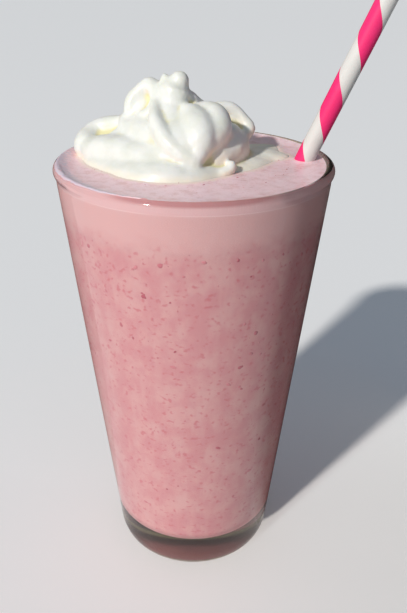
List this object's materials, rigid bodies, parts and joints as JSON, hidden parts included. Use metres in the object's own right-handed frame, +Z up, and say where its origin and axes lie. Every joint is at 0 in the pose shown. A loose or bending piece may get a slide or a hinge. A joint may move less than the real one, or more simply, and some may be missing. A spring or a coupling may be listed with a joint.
{
  "type": "strawberry milkshake in a glass",
  "caption": "Pink strawberry milkshake filled to the brim of a tall conical glass, topped with a soft swirl of whipped cream and a leaning striped paper straw.",
  "frame": {"origin": "centre of the glass's flat foot, on the surface that it stands on", "axes": "+Z up along the glass's axis, +X towards the side that the straw leans to, -Y towards the picture's viewer"},
  "size_m": [0.1049, 0.0892, 0.202],
  "materials": {
    "glass": "clear soda-lime drinking glass with a thick floor and a fire-polished lip",
    "milkshake": "opaque pink strawberry drink with fine dark-red fruit specks",
    "froth": "paler pink froth with fine bubbles",
    "cream": "smooth white whipped cream, softly melting, with yellowish hollows",
    "straw_paper": "smooth paper with pink and white spiral stripes"
  },
  "bodies": {
    "root": {"glass": "glass", "milkshake": "milkshake", "milkshake_froth": "froth", "whipped_cream": "cream", "straw": "straw_paper"}
  },
  "joints": []
}
